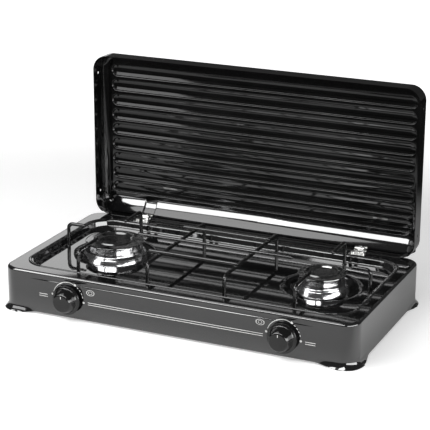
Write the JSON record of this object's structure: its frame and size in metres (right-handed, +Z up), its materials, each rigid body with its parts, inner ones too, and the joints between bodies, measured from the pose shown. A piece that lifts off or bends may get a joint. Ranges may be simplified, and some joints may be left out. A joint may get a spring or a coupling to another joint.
{
  "type": "gas table stove",
  "caption": "Low table stove with gas burners in a shallow well, wire pan supports, front control knobs and a ribbed lid hinged along the back.",
  "frame": {"origin": "middle of the bounding box, at the level of the table", "axes": "+X to the right, +Y to the back, +Z up; the knobs face -Y and the lid stands open along the back"},
  "size_m": [0.5094, 0.307, 0.297],
  "materials": {
    "black_enamel": "gloss black baked enamel",
    "black_wire": "gloss black enamelled wire",
    "black_rubber": "matt black",
    "black_plastic": "gloss black",
    "polished_burner": "polished bright metal",
    "brass": "turned brass",
    "cast_aluminium": "cast, satin",
    "zinc_plate": "bright zinc plate",
    "plain_steel": "plain steel"
  },
  "bodies": {
    "stove_body": {"burner_screws": "plain_steel", "cross_wire_front": "black_wire", "cross_wire_middle": "black_wire", "cross_wire_rear": "black_wire", "deck_frame": "black_enamel", "foot_trims": "black_rubber", "front_wall": "black_enamel", "gas_rail": "plain_steel", "hinge_pins": "zinc_plate", "hinge_screws": "zinc_plate", "hose_nozzle": "brass", "inlet_nut": "plain_steel", "inlet_pipe": "plain_steel", "left_burner_bowl": "polished_burner", "left_burner_crown": "polished_burner", "left_dish": "black_enamel", "left_front_finger": "black_wire", "left_gas_jet": "brass", "left_hinge_bracket": "zinc_plate", "left_mixing_tube": "cast_aluminium", "left_outer_finger": "black_wire", "left_rear_finger": "black_wire", "left_valve_body": "cast_aluminium", "left_valve_bonnet": "plain_steel", "left_wall": "black_enamel", "panel_bushes": "black_rubber", "rack_bar_left": "black_wire", "rack_bar_right": "black_wire", "rail_bracket_left": "plain_steel", "rail_bracket_right": "plain_steel", "rear_wall": "black_enamel", "right_burner_bowl": "polished_burner", "right_burner_crown": "polished_burner", "right_dish": "black_enamel", "right_front_finger": "black_wire", "right_gas_jet": "brass", "right_hinge_bracket": "zinc_plate", "right_mixing_tube": "cast_aluminium", "right_outer_finger": "black_wire", "right_rear_finger": "black_wire", "right_valve_body": "cast_aluminium", "right_valve_bonnet": "plain_steel", "right_wall": "black_enamel", "support_nuts": "plain_steel", "wall_corners": "black_enamel", "well_floor": "black_enamel"},
    "lid": {"lid_panel": "black_enamel", "hinge_rivets": "zinc_plate", "left_hinge_leaf": "zinc_plate", "right_hinge_leaf": "zinc_plate"},
    "left_tap_plug": {"left_valve_plug": "brass", "left_valve_spring": "plain_steel"},
    "left_knob_set": {"left_knob": "black_plastic", "left_knob_stem": "plain_steel"},
    "left_cap": {"left_burner_cap": "polished_burner"},
    "right_tap_plug": {"right_valve_plug": "brass", "right_valve_spring": "plain_steel"},
    "right_knob_set": {"right_knob": "black_plastic", "right_knob_stem": "plain_steel"},
    "right_cap": {"right_burner_cap": "polished_burner"}
  },
  "joints": [
    {"name": "lid_hinge", "type": "hinge", "parent": "stove_body", "child": "lid", "pos_m": [0, 0.1215, 0.0645], "axis": [-1, 0, 0], "range_deg": [-90, 0]},
    {"name": "left_knob_turn", "type": "hinge", "parent": "stove_body", "child": "left_tap_plug", "pos_m": [-0.1495, -0.105, 0.0295], "axis": [0, -1, 0], "range_deg": [-85, 85]},
    {"name": "left_knob_press", "type": "slide", "parent": "left_tap_plug", "child": "left_knob_set", "axis": [0, 1, 0], "range_m": [0, 0.003], "stiffness_N_per_m": 600, "springref_m": -0.003, "deforming": ["left_valve_spring"]},
    {"name": "left_cap_lift", "type": "slide", "parent": "stove_body", "child": "left_cap", "axis": [0, 0, 1], "range_m": [0, 0.006]},
    {"name": "right_knob_turn", "type": "hinge", "parent": "stove_body", "child": "right_tap_plug", "pos_m": [0.1555, -0.105, 0.0295], "axis": [0, -1, 0], "range_deg": [-85, 85]},
    {"name": "right_knob_press", "type": "slide", "parent": "right_tap_plug", "child": "right_knob_set", "axis": [0, 1, 0], "range_m": [0, 0.003], "stiffness_N_per_m": 600, "springref_m": -0.003, "deforming": ["right_valve_spring"]},
    {"name": "right_cap_lift", "type": "slide", "parent": "stove_body", "child": "right_cap", "axis": [0, 0, 1], "range_m": [0, 0.06]}
  ]
}
